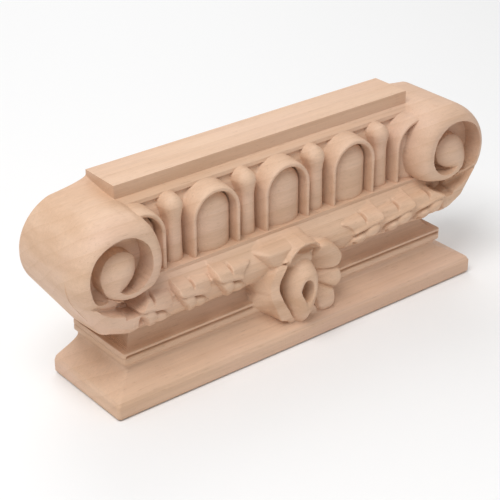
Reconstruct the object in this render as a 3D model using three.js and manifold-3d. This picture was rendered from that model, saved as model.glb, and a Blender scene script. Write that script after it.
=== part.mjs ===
// Column capital for a pilaster: one block of pale hardwood, carved on the front and flat behind.
// Millimetres. +X runs along the capital, the carved front faces -Y, +Z is up, and the origin lies under
// the middle of the block. A depth is measured forward from the flat back.

import * as THREE from 'three';
import { mergeVertices } from 'three/addons/utils/BufferGeometryUtils.js';
import Module from 'manifold-3d';

const wasm = await Module();
wasm.setup();

// Overall block
const CAPITAL_HEIGHT = 88.3;

// Foot slab and neck mouldings; a setback is measured in from the slab's front and end faces
const SLAB_LENGTH = 200;
const SLAB_DEPTH = 47.7;
const SLAB_EDGE = 7.2;
const SLAB_ROUND = 1.4;
const FLARE_RISE = 7.7;
const FLARE_SETBACK = 12.2;
const NECK_SETBACK = 10.5;
const BEAD_START = 16.8;
const BEAD_HEIGHT = 3.2;
const GROOVE_WIDTH = 0.8;
const GROOVE_DEPTH = 1.7;
const FILLET_HEIGHT = 1.6;
const COVE_HEIGHT = 7.2;
const COVE_SETBACK = 7.4;

// Top block
const TOP_LENGTH = 159;
const TOP_DEPTH = 20;
const TOP_FACE_HEIGHT = 6;
const TOP_MOULD_HEIGHT = 3.3;
const TOP_MOULD_DEPTH = 23.6;

// Egg and dart band
const BAND_BOTTOM = 51.5;
const BAND_GROUND_DEPTH = 24.5;
const BAND_COVE_DEPTH = 22.2;
const BAND_COVE_HEIGHT = 7;
const EGG_PITCH = 37.85;
const ARCH_RADIUS = 12.8;
const ARCH_RIM = 2.5;
const ARCH_SPRING = 67.2;
const ARCH_DEPTH = 32.7;
const EGG_RADIUS = 9.2;
const EGG_CREST_DEPTH = 32.1;
const EGG_SHOULDER_DEPTH = 27;
const DART_TOP = 80.6;
const DART_HEAD_HALF = 5.1;
const DART_HEAD_LENGTH = 11;
const DART_FOOT_HALF = 4;
const DART_NECK_HALF = 3.4;
const DART_DEPTH = 30.4;

// Ledge and the swelling belt that the leaves lie on
const LEDGE_DEPTH = 33.8;
const LEDGE_THICKNESS = 1.6;
const BELT_CREST_DEPTH = 40.4;
const BELT_CREST_HEIGHT = 39.5;
const BELT_LIP_DEPTH = 34.5;
const BELT_BOTTOM = 29.8;

// Volutes
const VOLUTE_OFFSET = 90.9;
const VOLUTE_HEIGHT = 61.5;
const VOLUTE_RADIUS = 21.6;
const VOLUTE_DEPTH = 42.5;
const VOLUTE_ROUND_WIDTH = 6;
const VOLUTE_ROUND_DEPTH = 12;
const CHANNEL_FLOOR_DEPTH = 33.6;
const CHANNEL_CLEARANCE = 5;
const DOME_ROOT = 4;
const CHANNEL_BATTER = 0.8;
const SWEEP_TOP = 86.3;
const FOOT_HALF = 89.4;
const FOOT_RISE = 7.6;
const FOOT_FRONT_RISE = 15;
const FOOT_LOBE_OFFSET = 4.4;

// Leaf swags
const SWAG_START = 24;
const LEAF_PITCH = 9.4;
const LEAF_COUNT = 6;
const LEAF_DEPTH = 42.6;
const LEAF_LIFT = 2.6;
const LEAF_SINK = 1.7;
const LEAF_CREASE = 1.4;
const SHELF_HEIGHT = 48.6;
const LEAF_SLANT = 3.8;
const LEAF_GAP = 0.35;
const ROLL_INSET = 8;
const ROLL_RISE = 4.6;
const ROLL_LENGTH = 23;
const ROLL_WIDTH = 11.6;
const ROLL_LEAN = 16;

// Flower
const FLOWER_HEIGHT = 26.6;
const FLOWER_RADIUS = 23;
const PETAL_COUNT = 6;
const PETAL_DEPTH = 45;
const BUD_WIDTH = 20;
const BUD_HEIGHT = 29;
const BUD_DEPTH = 50.8;
const FLOWER_ROOT = 6;
const BUD_OFFSET = -4;
const BUD_HOLE_WIDTH = 5.4;
const BUD_HOLE_HEIGHT = 10;
const BUD_HOLE_OFFSET = 0.4;
const BUD_HOLE_FLOOR = 41;

const WOOD_COLOR = '#dcb996';

// Number of steps in the curves
const ARCH_STEPS = 14;
const VOLUTE_STEPS = 24;
const CHANNEL_STEPS = 30;

// Levels and depths that follow from the sizes above
const slabHalf = SLAB_LENGTH / 2;
const topHalf = TOP_LENGTH / 2;
const beadTop = BEAD_START + BEAD_HEIGHT;
const filletBottom = beadTop + GROOVE_WIDTH;
const neckTop = filletBottom + FILLET_HEIGHT;
const coveTop = neckTop + COVE_HEIGHT;
const topFaceBottom = CAPITAL_HEIGHT - TOP_FACE_HEIGHT;
const mouldBottom = topFaceBottom - TOP_MOULD_HEIGHT;
const ledgeBottom = BAND_BOTTOM - LEDGE_THICKNESS;

// Half the overall depth, so that the origin sits under the middle of the capital
const BACK = BUD_DEPTH / 2;

const { lerp, degToRad } = THREE.MathUtils;
// A point given by its place along the capital, its depth forward from the flat back and its height
const at = (x, depth, z) => new THREE.Vector3(x, BACK - depth, z);
const steps = (count) => Array.from({ length: count + 1 }, (_, i) => i / count);

// Straight-line reading of a short table of [position, value] pairs
function read(table, position) {
  if (position <= table[0][0]) return table[0][1];
  for (let i = 1; i < table.length; i += 1) {
    const [p0, v0] = table[i - 1];
    const [p1, v1] = table[i];
    if (position <= p1) return lerp(v0, v1, (position - p0) / (p1 - p0));
  }
  return table.at(-1)[1];
}

// A closed solid from points and triangles, turned outward whichever way it was listed
function solid(points, faces) {
  const cross = new THREE.Vector3();
  let volume = 0;
  for (const [a, b, c] of faces) {
    volume += points[a].dot(cross.crossVectors(points[b], points[c]));
  }
  const index = faces.flatMap(([a, b, c]) => (volume > 0 ? [a, b, c] : [a, c, b]));
  const raw = new THREE.BufferGeometry().setFromPoints(points);
  raw.setIndex(index);
  const geometry = mergeVertices(raw, 1e-4);
  return new wasm.Manifold(new wasm.Mesh({
    numProp: 3,
    vertProperties: new Float32Array(geometry.attributes.position.array),
    triVerts: new Uint32Array(geometry.index.array),
  }));
}

// A closed solid through loops of equal length; both ends are filled flat, seen along the named axis
function loft(loops, axis) {
  const count = loops[0].length;
  const faces = [];
  for (let k = 0; k + 1 < loops.length; k += 1) {
    for (let i = 0; i < count; i += 1) {
      const a = k * count + i;
      const b = k * count + ((i + 1) % count);
      faces.push([a, b, b + count], [a, b + count, a + count]);
    }
  }
  const flat = (p) => new THREE.Vector2(axis === 'x' ? p.y : p.x, axis === 'z' ? p.y : p.z);
  for (const [k, wanted] of [[0, -1], [loops.length - 1, 1]]) {
    const contour = loops[k].map(flat);
    const turn = Math.sign(THREE.ShapeUtils.area(contour)) * wanted;
    for (const [a, b, c] of THREE.ShapeUtils.triangulateShape(contour, [])) {
      const same = Math.sign(THREE.ShapeUtils.area([contour[a], contour[b], contour[c]])) === turn;
      faces.push((same ? [a, b, c] : [a, c, b]).map((i) => k * count + i));
    }
  }
  return solid(loops.flat(), faces);
}

// A raised boss: rings of one outline drawn in toward its centre, each at its own depth
function boss(outline, rings, rootDepth) {
  const edge = outline(1);
  const count = edge.length;
  const points = edge.map(([x, z]) => at(x, rootDepth, z));
  for (const [share, depth] of rings) {
    const level = typeof depth === 'function' ? depth : () => depth;
    points.push(...outline(share).map(([x, z], i) => at(x, level(i), z)));
  }
  const faces = [];
  for (let k = 0; k < rings.length; k += 1) {
    for (let i = 0; i < count; i += 1) {
      const a = k * count + i;
      const b = k * count + ((i + 1) % count);
      faces.push([a, b, b + count], [a, b + count, a + count]);
    }
  }
  const middle = (start) => {
    const centre = new THREE.Vector3();
    for (let i = 0; i < count; i += 1) centre.addScaledVector(points[start + i], 1 / count);
    return centre;
  };
  const last = rings.length * count;
  const root = points.push(middle(0)) - 1;
  const crown = points.push(middle(last)) - 1;
  for (let i = 0; i < count; i += 1) {
    const j = (i + 1) % count;
    faces.push([j, i, root], [last + i, last + j, crown]);
  }
  return solid(points, faces);
}

function ellipse(x, z, halfWidth, halfHeight, count, turn = 0) {
  return (share) => steps(count).slice(1).map((t) => {
    const angle = t * Math.PI * 2;
    const u = Math.cos(angle) * halfWidth * share;
    const w = Math.sin(angle) * halfHeight * share;
    return [x + u * Math.cos(turn) - w * Math.sin(turn), z + u * Math.sin(turn) + w * Math.cos(turn)];
  });
}

// Foot slab, flare, bead, groove, fillet and cove: one moulding that returns round both ends
function footAndNeck() {
  const levels = [
    [0, SLAB_ROUND],
    [SLAB_ROUND * 0.4, SLAB_ROUND * 0.4],
    [SLAB_ROUND, 0],
    [SLAB_EDGE - SLAB_ROUND * 0.6, 0],
    [SLAB_EDGE + SLAB_ROUND * 0.2, SLAB_ROUND * 0.35],
  ];
  const flare = new THREE.QuadraticBezierCurve(
    new THREE.Vector2(SLAB_ROUND, SLAB_EDGE + SLAB_ROUND * 0.7),
    new THREE.Vector2(lerp(SLAB_ROUND, FLARE_SETBACK, 0.78), SLAB_EDGE + FLARE_RISE * 0.5),
    new THREE.Vector2(FLARE_SETBACK, SLAB_EDGE + FLARE_RISE),
  );
  levels.push(...flare.getPoints(6).map((p) => [p.y, p.x]));
  levels.push(
    [BEAD_START, FLARE_SETBACK],
    [BEAD_START + 0.1, NECK_SETBACK + 0.5],
    [BEAD_START + 0.6, NECK_SETBACK],
    [beadTop - 0.3, NECK_SETBACK],
    [beadTop, NECK_SETBACK + 0.3],
    [beadTop + 0.1, NECK_SETBACK + GROOVE_DEPTH],
    [filletBottom - 0.1, NECK_SETBACK + GROOVE_DEPTH],
    [filletBottom, NECK_SETBACK + 0.3],
    [filletBottom + 0.4, NECK_SETBACK],
    [neckTop - 0.3, NECK_SETBACK],
  );
  for (const t of steps(4)) {
    const angle = t * Math.PI / 2;
    levels.push([
      neckTop + COVE_HEIGHT * (1 - Math.cos(angle)),
      NECK_SETBACK + 0.8 + (COVE_SETBACK - 0.8) * Math.sin(angle),
    ]);
  }
  levels.push([coveTop + 3, NECK_SETBACK + COVE_SETBACK]);
  return loft(levels.map(([z, setback]) => {
    const half = slabHalf - setback;
    const depth = SLAB_DEPTH - setback;
    return [at(-half, depth, z), at(half, depth, z), at(half, 0, z), at(-half, 0, z)];
  }), 'z');
}

// Front of the plain belt under the ledge, from the ledge down: [height, depth] pairs
function beltProfile() {
  const rise = ledgeBottom - BELT_CREST_HEIGHT;
  const swell = BELT_CREST_DEPTH - LEDGE_DEPTH;
  const drop = BELT_CREST_HEIGHT - BELT_BOTTOM;
  const tuck = BELT_CREST_DEPTH - BELT_LIP_DEPTH;
  const upper = [[0, 0.04], [0.2, 0.26], [0.4, 0.5], [0.6, 0.74], [0.8, 0.92]];
  const lower = [[0, 0], [0.25, 0.06], [0.48, 0.22], [0.68, 0.48], [0.86, 0.76], [0.97, 1]];
  return [
    ...upper.map(([down, out]) => [ledgeBottom - rise * down, LEDGE_DEPTH + swell * out]),
    ...lower.map(([down, back]) => [BELT_CREST_HEIGHT - drop * down, BELT_CREST_DEPTH - tuck * back]),
  ];
}

// Middle of the block: top face, its moulding, the ground of the egg band, the ledge and the belt
function middleBlock() {
  const profile = [
    [CAPITAL_HEIGHT, 0],
    [CAPITAL_HEIGHT, TOP_DEPTH],
    [topFaceBottom, TOP_DEPTH],
    [topFaceBottom - 0.1, TOP_DEPTH + 0.9],
    [lerp(topFaceBottom, mouldBottom, 0.45), lerp(TOP_DEPTH, TOP_MOULD_DEPTH, 0.86)],
    [lerp(topFaceBottom, mouldBottom, 0.75), TOP_MOULD_DEPTH],
    [mouldBottom, TOP_MOULD_DEPTH],
    [mouldBottom - 0.1, BAND_COVE_DEPTH],
    [mouldBottom - BAND_COVE_HEIGHT * 0.45, lerp(BAND_COVE_DEPTH, BAND_GROUND_DEPTH, 0.2)],
    [mouldBottom - BAND_COVE_HEIGHT, BAND_GROUND_DEPTH],
    [BAND_BOTTOM, BAND_GROUND_DEPTH],
    [BAND_BOTTOM, LEDGE_DEPTH],
    [ledgeBottom, LEDGE_DEPTH],
    ...beltProfile(),
    [BELT_BOTTOM, BELT_LIP_DEPTH - 1],
    [BELT_BOTTOM, 0],
  ];
  return loft([-topHalf, topHalf].map((x) => profile.map(([z, depth]) => at(x, depth, z))), 'x');
}

// An arch outline with straight legs down to the ledge, seen from the front
function archOutline(centre, radius, bottom) {
  const points = [[centre - radius, bottom]];
  for (const t of steps(ARCH_STEPS)) {
    const angle = Math.PI * (1 - t);
    points.push([centre + radius * Math.cos(angle), ARCH_SPRING + radius * Math.sin(angle)]);
  }
  points.push([centre + radius, bottom]);
  return points;
}

function archRim(centre) {
  const bottom = BAND_BOTTOM - LEDGE_THICKNESS / 2;
  const layers = [[BAND_COVE_DEPTH - 1, 0], [ARCH_DEPTH - 0.5, 0], [ARCH_DEPTH, 0.45]];
  return loft(layers.map(([depth, ease]) => [
    ...archOutline(centre, ARCH_RADIUS - ease, bottom),
    ...archOutline(centre, ARCH_RADIUS - ARCH_RIM + ease, bottom).reverse(),
  ].map(([x, z]) => at(x, depth, z))), 'y');
}

function egg(centre) {
  const bottom = BAND_BOTTOM - LEDGE_THICKNESS / 2;
  const shares = [1, 0.85, 0.6, 0.3];
  const layers = shares.map((share) => [
    lerp(EGG_SHOULDER_DEPTH, EGG_CREST_DEPTH, Math.sqrt(1 - share * share)),
    share,
  ]);
  return loft([[BAND_COVE_DEPTH - 1, 1], ...layers].map(([depth, share]) => (
    archOutline(centre, EGG_RADIUS * share, bottom).map(([x, z]) => at(x, depth, z))
  )), 'y');
}

// A dart: half-round sections stacked up from the ledge, a slim stem that swells into a round head
function dart(centre) {
  const root = BAND_COVE_DEPTH - 1;
  const neck = DART_TOP - DART_HEAD_LENGTH;
  const stem = [
    [BAND_BOTTOM - LEDGE_THICKNESS / 2, DART_FOOT_HALF, DART_DEPTH],
    [lerp(BAND_BOTTOM, neck, 0.4), lerp(DART_FOOT_HALF, DART_NECK_HALF, 0.7), DART_DEPTH],
    [neck - 2, DART_NECK_HALF, DART_DEPTH],
  ];
  const head = [
    [0.12, 0.12, 0.1], [0.3, 0.62, 0.7], [0.48, 0.96, 1], [0.62, 1, 1], [0.76, 0.86, 0.8], [0.88, 0.58, 0.2],
  ];
  const swell = head.map(([up, wide, out]) => [
    neck + DART_HEAD_LENGTH * up,
    lerp(DART_NECK_HALF, DART_HEAD_HALF, wide),
    DART_DEPTH + out * 0.8,
  ]);
  const crown = [
    [DART_TOP - 0.3, DART_HEAD_HALF * 0.5, DART_DEPTH - 2],
    [DART_TOP, DART_HEAD_HALF * 0.2, DART_DEPTH - 4],
  ];
  return loft([...stem, ...swell, ...crown].map(([z, half, depth]) => steps(8).map((t) => {
    const angle = Math.PI * t;
    return at(centre + half * Math.cos(angle), root + (depth - root) * Math.sin(angle) ** 0.7, z);
  })), 'z');
}

// Tables that lead the spiral channel: radius from the volute's centre by degrees of turn.
// 0 points to the capital's end, 90 up, 180 to the eggs and 270 down; the channel makes one turn.
const CHANNEL_INNER = [
  [205, 22.4], [215, 19.4], [225, 16.8], [235, 14.6], [250, 12.6], [270, 11.3],
  [300, 10.8], [330, 10.5], [360, 10.2], [450, 8.4], [540, 6.2], [612, 6],
];
const CHANNEL_OUTER = [
  [205, 26], [238, 24], [252, 18.4], [270, 16.4], [300, 15.6], [330, 15.5],
  [360, 15.6], [450, 15.6], [540, 15.2], [575, 11.2], [612, 7.2],
];
const DOME_FALL = [[250, 0.8], [300, 2.4], [360, 3.6], [450, 4.4], [540, 4.2], [580, 2], [610, 0.2]];
// Reach of the roll toward the top block, beyond its radius, by degrees of turn
const ROLL_SPREAD = [[70, 0], [90, 0.5], [105, 1.3], [120, 1.9], [135, 1.7], [150, 1], [170, 0]];

const polar = (radius, degrees) => [
  VOLUTE_OFFSET + radius * Math.cos(degToRad(degrees)),
  VOLUTE_HEIGHT + radius * Math.sin(degToRad(degrees)),
];

// Where the straight flank of the foot touches the round of the volute, in degrees
function flankAngle(radius, footHalf, footLevel) {
  const dx = footHalf - VOLUTE_OFFSET;
  const dz = footLevel - VOLUTE_HEIGHT;
  const toFoot = Math.atan2(dz, dx);
  return THREE.MathUtils.radToDeg(toFoot + Math.acos(radius / Math.hypot(dx, dz)));
}

function voluteBody(side) {
  const layers = [[0, 0]];
  for (const angle of [0, 22, 42, 58, 72, 83, 90]) {
    layers.push([
      VOLUTE_DEPTH - VOLUTE_ROUND_DEPTH * (1 - Math.sin(degToRad(angle))),
      VOLUTE_ROUND_WIDTH * (1 - Math.cos(degToRad(angle))),
    ]);
  }
  const underside = [
    [0, neckTop],
    [BELT_LIP_DEPTH, neckTop + FOOT_RISE],
    [lerp(BELT_LIP_DEPTH, VOLUTE_DEPTH, 0.5), neckTop + lerp(FOOT_RISE, FOOT_FRONT_RISE, 0.32)],
    [VOLUTE_DEPTH, neckTop + FOOT_FRONT_RISE],
  ];
  return loft(layers.map(([depth, ease]) => {
    const radius = VOLUTE_RADIUS - ease;
    const bottom = read(underside, depth);
    const start = flankAngle(VOLUTE_RADIUS, FOOT_HALF, neckTop);
    const loop = steps(VOLUTE_STEPS).map((t) => {
      const turn = lerp(start, 215, t);
      return polar(radius + read(ROLL_SPREAD, turn), turn);
    });
    const [touchX, touchZ] = polar(radius, start);
    const slope = Math.tan(degToRad(start + 90));
    const footX = touchX + (bottom - touchZ) / slope;
    loop.push([loop.at(-1)[0] + 3, lerp(bottom, loop.at(-1)[1], 0.5)]);
    loop.push([loop.at(-1)[0] + 1, bottom], [lerp(loop.at(-1)[0], footX, 0.5), bottom], [footX, bottom]);
    return loop.map(([x, z]) => at(side * x, depth, z));
  }), 'y');
}

// The concave sweep from the end of the top block down to the roll
function sweep(side) {
  const [startX, startZ] = polar(VOLUTE_RADIUS - 0.05, 74);
  const curve = new THREE.CubicBezierCurve(
    new THREE.Vector2(startX, startZ),
    new THREE.Vector2(lerp(startX, topHalf, 0.4), lerp(startZ, SWEEP_TOP, 0.3)),
    new THREE.Vector2(lerp(startX, topHalf, 0.85), lerp(startZ, SWEEP_TOP, 0.42)),
    new THREE.Vector2(topHalf, SWEEP_TOP),
  );
  const crest = curve.getPoints(9).map((p) => [p.x, p.y]);
  const layers = [
    [0, 0], [TOP_DEPTH - 0.2, 0], [TOP_DEPTH + 0.6, 4.4], [TOP_DEPTH + 7, 6.6], [TOP_DEPTH + 12, 9.5],
  ];
  return loft(layers.map(([depth, fall]) => {
    const loop = crest.map(([x, z]) => [x, z - fall]);
    const inner = depth > TOP_DEPTH ? topHalf - 0.5 : topHalf - 4;
    loop.push([inner, loop.at(-1)[1]], [inner, VOLUTE_HEIGHT], [startX, VOLUTE_HEIGHT]);
    return loop.map(([x, z]) => at(side * x, depth, z));
  }), 'y');
}

function channelCutter(side) {
  const layers = [[CHANNEL_FLOOR_DEPTH, 1], [VOLUTE_DEPTH, 0], [VOLUTE_DEPTH + 4, -0.44]];
  return loft(layers.map(([depth, batter]) => {
    const inner = [];
    const outer = [];
    for (const t of steps(CHANNEL_STEPS)) {
      const turn = lerp(CHANNEL_INNER[0][0], CHANNEL_INNER.at(-1)[0], t);
      const near = read(CHANNEL_INNER, turn) + batter * CHANNEL_BATTER * 0.4;
      const far = read(CHANNEL_OUTER, turn) - batter * CHANNEL_BATTER * (turn > 300 ? 2 : 0.3);
      inner.push(polar(near, turn));
      outer.push(polar(Math.max(far, near + 0.4), turn));
    }
    return [...inner, ...outer.reverse()].map(([x, z]) => at(side * x, depth, z));
  }), 'y');
}

// The snail in the middle of the volute, a low dome that the ring runs into from below
function dome(side) {
  const turns = steps(26).map((t) => lerp(250, 610, t)).slice(0, -1);
  const outline = (share) => turns.map((turn) => {
    const [x, z] = polar(read(CHANNEL_INNER, turn) * share, turn);
    return [side * x, z];
  });
  const fall = (share) => (i) => {
    return VOLUTE_DEPTH - read(DOME_FALL, turns[i]) * share * share;
  };
  return boss(outline, [1, 0.85, 0.65, 0.4].map((share) => [share, fall(share)]), CHANNEL_FLOOR_DEPTH - DOME_ROOT);
}

function domeSeat(side) {
  const turns = steps(26).map((t) => lerp(250, 610, t)).slice(0, -1);
  return loft([CHANNEL_FLOOR_DEPTH - 1, VOLUTE_DEPTH + CHANNEL_CLEARANCE].map((depth) => turns.map((turn) => {
    const [x, z] = polar(read(CHANNEL_INNER, turn) - 0.3, turn);
    return at(side * x, depth, z);
  })), 'y');
}

function volute(side) {
  return voluteBody(side)
    .subtract(channelCutter(side))
    .subtract(domeSeat(side))
    .add(dome(side))
    .add(sweep(side));
}

// The foot of each volute, two rounded lobes where the swag begins
function footLobes(side) {
  const level = neckTop + FOOT_FRONT_RISE;
  const lobes = [
    [FOOT_HALF - FOOT_LOBE_OFFSET, level - 0.8, 7.4, 7, VOLUTE_DEPTH + 0.6],
    [FOOT_HALF + FOOT_LOBE_OFFSET, level + 1.4, 6.4, 5.8, VOLUTE_DEPTH + 0.2],
  ];
  return lobes.map(([x, z, halfWidth, halfHeight, depth]) => boss(
    ellipse(side * x, z, halfWidth, halfHeight, 14),
    [[1, depth - 3.6], [0.84, depth - 1.6], [0.55, depth - 0.4]],
    BELT_LIP_DEPTH - 4,
  )).reduce((a, b) => a.add(b));
}

// Front of a leaf, from its level top down to the belt's lower edge: [height, depth] pairs
function leafProfile() {
  const shoulder = SHELF_HEIGHT - LEDGE_THICKNESS * 3;
  const drop = shoulder - BELT_BOTTOM;
  const brow = LEAF_DEPTH - LEDGE_DEPTH;
  const tuck = LEAF_DEPTH - BELT_LIP_DEPTH;
  const upper = [[0, 0.95], [0.12, 0.7], [0.26, 0.41], [0.4, 0.18], [0.64, 0.04]];
  const lower = [[0, 0], [0.22, 0.04], [0.45, 0.17], [0.67, 0.45], [0.86, 0.74], [0.97, 1]];
  return [
    ...upper.map(([down, back]) => [lerp(SHELF_HEIGHT, shoulder, down), LEAF_DEPTH - brow * back]),
    ...lower.map(([down, back]) => [shoulder - drop * down, LEAF_DEPTH - tuck * back]),
  ];
}

// A swag of overlapping leaves; each swells toward its outer edge and covers the start of the next
function swag(side) {
  const profile = leafProfile();
  const stations = [];
  for (let leaf = 0; leaf < LEAF_COUNT; leaf += 1) {
    const lift = LEAF_LIFT * (leaf % 2 ? 1 : 0.7);
    for (const [share, raised] of [[0, 0], [0.3, 0.6], [0.65, 0.95], [0.9, 1], [1, 0.7]]) {
      const gap = share === 0 ? LEAF_GAP : 0;
      stations.push([SWAG_START + LEAF_PITCH * (leaf + share) + gap, raised * lift - LEAF_SINK, raised]);
    }
  }
  const loops = stations.map(([x, lift, raised]) => {
    const loop = profile.map(([z, depth], i) => {
      const share = i / (profile.length - 1);
      const swell = Math.sin(Math.PI * Math.min(share * 0.9 + 0.03, 1)) ** 0.8;
      const slant = LEAF_SLANT * read([[0, 1], [0.35, 1], [0.95, 0], [1, 0]], share);
      const crease = LEAF_CREASE * (1 - raised) * read([[0, 1], [0.3, 0.5], [0.4, 0]], share);
      const sag = share > 0.8 ? lift * 0.35 : 0;
      return at(side * (x + slant), depth + lift * swell, z - crease - sag);
    });
    const last = loop.at(-1);
    loop.push(at(last.x, BELT_LIP_DEPTH - 3, last.z), at(loop[0].x, BELT_LIP_DEPTH - 3, SHELF_HEIGHT - 1));
    return loop;
  });
  return loft(loops, 'x');
}

// A soft roll between each swag and the flower
function roll(side) {
  return boss(
    ellipse(
      side * (SWAG_START - ROLL_INSET),
      BELT_CREST_HEIGHT + ROLL_RISE,
      ROLL_LENGTH / 2,
      ROLL_WIDTH / 2,
      16,
      side * degToRad(ROLL_LEAN),
    ),
    [[1, BELT_CREST_DEPTH - 5], [0.85, BELT_CREST_DEPTH - 2.6], [0.6, BELT_CREST_DEPTH - 0.8],
      [0.3, BELT_CREST_DEPTH - 0.1]],
    LEDGE_DEPTH - 3,
  );
}

// A petal rises from the bud to a thick, softly ruffled lip
function petal(number) {
  const angle = degToRad(90 + (360 / PETAL_COUNT) * number);
  const reach = FLOWER_RADIUS * 0.56;
  const outline = (share) => steps(16).slice(1).map((t) => {
    const turn = t * Math.PI * 2;
    const ruffle = 1 + 0.06 * Math.cos(3 * turn + 0.6);
    const out = reach + (FLOWER_RADIUS - reach) * Math.cos(turn) * ruffle * share;
    const across = FLOWER_RADIUS * 0.52 * Math.sin(turn) * ruffle * share;
    return [
      out * Math.cos(angle) - across * Math.sin(angle),
      FLOWER_HEIGHT + out * Math.sin(angle) + across * Math.cos(angle),
    ];
  });
  return boss(
    outline,
    [[1, PETAL_DEPTH - 3], [0.88, PETAL_DEPTH - 0.8], [0.7, PETAL_DEPTH], [0.35, PETAL_DEPTH - 1.2]],
    LEDGE_DEPTH - FLOWER_ROOT,
  );
}

// The curled bud: an upright oval swelling wrapped round a deep, drop-shaped hole
function bud() {
  const budZ = FLOWER_HEIGHT - 0.6;
  const rings = [[1, -7], [0.93, -3.4], [0.78, -1], [0.55, 0], [0.3, -0.3], [0.1, -1.4]];
  const body = boss(
    (share) => steps(22).slice(1).map((t) => {
      const angle = t * Math.PI * 2;
      return [
        lerp(BUD_HOLE_OFFSET, BUD_OFFSET, share)
          + (lerp(BUD_HOLE_WIDTH, BUD_WIDTH, share) / 2) * Math.cos(angle),
        budZ + (lerp(BUD_HOLE_HEIGHT, BUD_HEIGHT, share) / 2) * Math.sin(angle),
      ];
    }),
    rings.map(([share, fall]) => [share, BUD_DEPTH + fall]),
    LEDGE_DEPTH - FLOWER_ROOT,
  );
  const cutter = loft([[BUD_HOLE_FLOOR, 0.7], [BUD_DEPTH + 2, 1.1]].map(([depth, grow]) => (
    steps(16).slice(1).map((t) => {
      const angle = t * Math.PI * 2;
      const pinch = Math.sin(angle) < 0 ? 1 + 0.6 * Math.sin(angle) : 1;
      return at(
        BUD_HOLE_OFFSET + (BUD_HOLE_WIDTH / 2) * grow * Math.cos(angle) * pinch,
        depth,
        budZ + (BUD_HOLE_HEIGHT / 2) * grow * Math.sin(angle),
      );
    })
  )), 'y');
  return { body, cutter };
}

// Everything within a distance of the middle, for what runs in behind the volutes
function between(halfLength) {
  const corners = [[-1, 0], [1, 0], [1, CAPITAL_HEIGHT], [-1, CAPITAL_HEIGHT]];
  const layers = [-1, BUD_DEPTH + 1];
  return loft(layers.map((depth) => corners.map(([way, z]) => at(way * halfLength, depth, z))), 'y');
}

function carveCapital() {
  const places = (count) => steps(count - 1).map((t) => Math.round(t * (count - 1)) - (count - 1) / 2);
  let block = footAndNeck().add(middleBlock());
  for (const side of [-1, 1]) {
    block = block.add(volute(side)).add(footLobes(side)).add(swag(side)).add(roll(side));
  }
  const arches = places(5).map((place) => archRim(place * EGG_PITCH)).reduce((a, b) => a.add(b));
  block = block.add(arches.intersect(between(topHalf - 2.5)));
  for (const place of places(3)) block = block.add(egg(place * EGG_PITCH));
  for (const place of places(4)) block = block.add(dart(place * EGG_PITCH));
  for (let number = 0; number < PETAL_COUNT; number += 1) block = block.add(petal(number));
  const { body, cutter } = bud();
  return block.add(body).subtract(cutter);
}

function toGeometry(manifold) {
  const mesh = manifold.getMesh();
  const geometry = new THREE.BufferGeometry();
  geometry.setAttribute('position', new THREE.BufferAttribute(mesh.vertProperties, mesh.numProp));
  geometry.setIndex(new THREE.BufferAttribute(mesh.triVerts, 1));
  geometry.computeVertexNormals();
  return geometry;
}

const wood = new THREE.MeshStandardMaterial({ color: WOOD_COLOR, roughness: 0.72, metalness: 0 });
const capital = new THREE.Mesh(toGeometry(carveCapital()), wood);
capital.name = 'capital';

const group = new THREE.Group();
group.add(capital);

export default group;
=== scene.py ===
"""Carved wooden column capital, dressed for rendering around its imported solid."""

from math import cos, pi, radians, sin
from types import SimpleNamespace

import bpy
import numpy as np
from bpy.props import FloatProperty, FloatVectorProperty, IntProperty, PointerProperty
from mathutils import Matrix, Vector


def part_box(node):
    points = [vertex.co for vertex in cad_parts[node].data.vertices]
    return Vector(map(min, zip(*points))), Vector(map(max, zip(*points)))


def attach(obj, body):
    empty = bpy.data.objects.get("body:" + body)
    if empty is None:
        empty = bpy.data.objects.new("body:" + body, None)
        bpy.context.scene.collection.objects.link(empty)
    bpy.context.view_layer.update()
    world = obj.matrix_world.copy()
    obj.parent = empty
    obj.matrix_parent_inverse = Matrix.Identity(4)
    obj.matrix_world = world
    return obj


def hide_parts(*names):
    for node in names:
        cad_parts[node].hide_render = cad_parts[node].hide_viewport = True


bl_info = {
    "name": "Carved Column Capital",
    "version": (1, 0, 0),
    "blender": (4, 5, 0),
    "location": "3D View > Sidebar > Capital",
    "description": "Carves a pilaster capital with scrolls, egg and dart, leafy swags and a flower",
    "category": "Add Mesh",
}

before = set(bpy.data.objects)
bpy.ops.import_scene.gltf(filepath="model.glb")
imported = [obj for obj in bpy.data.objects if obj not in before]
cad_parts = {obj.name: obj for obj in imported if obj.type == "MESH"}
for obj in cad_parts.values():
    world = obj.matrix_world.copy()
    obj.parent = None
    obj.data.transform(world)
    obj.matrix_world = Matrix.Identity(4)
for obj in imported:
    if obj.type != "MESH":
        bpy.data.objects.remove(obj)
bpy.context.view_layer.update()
BLOCK_LOW, BLOCK_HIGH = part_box("capital")
MM = 0.001

# Lengths of the carving, in millimetres
BEAD_SWELL = 0.45
COVE_STEP = 0.7
END_RISE, END_SPAN = 4, (87, 97)
UNDERSIDE_BLEND = 4
FOOT_START, FOOT_LENGTH, FOOT_LEAN = 84.4, 17, 0.12
NICK_DEPTH, NICK_WIDTH = 4.5, 1.1
SUNK_ROOT = 3
LOBE_GROUND = 5
BUD_ROOT = 37
HOLE_FLOOR = 39.5
FLOWER_HOLLOW = 34.6
NO_CUT = 99

# The mesh: how close two rows stand at a level edge, how the columns crowd toward the ends, how
# many columns of the face share one of the back, and the weld's reach and the edges' angle
EDGE_GAP = 0.03
CROWDING = 1.6
BACK_STEP = 6
WELD_GAP = 0.002
SHARP_ANGLE = 62

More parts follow.
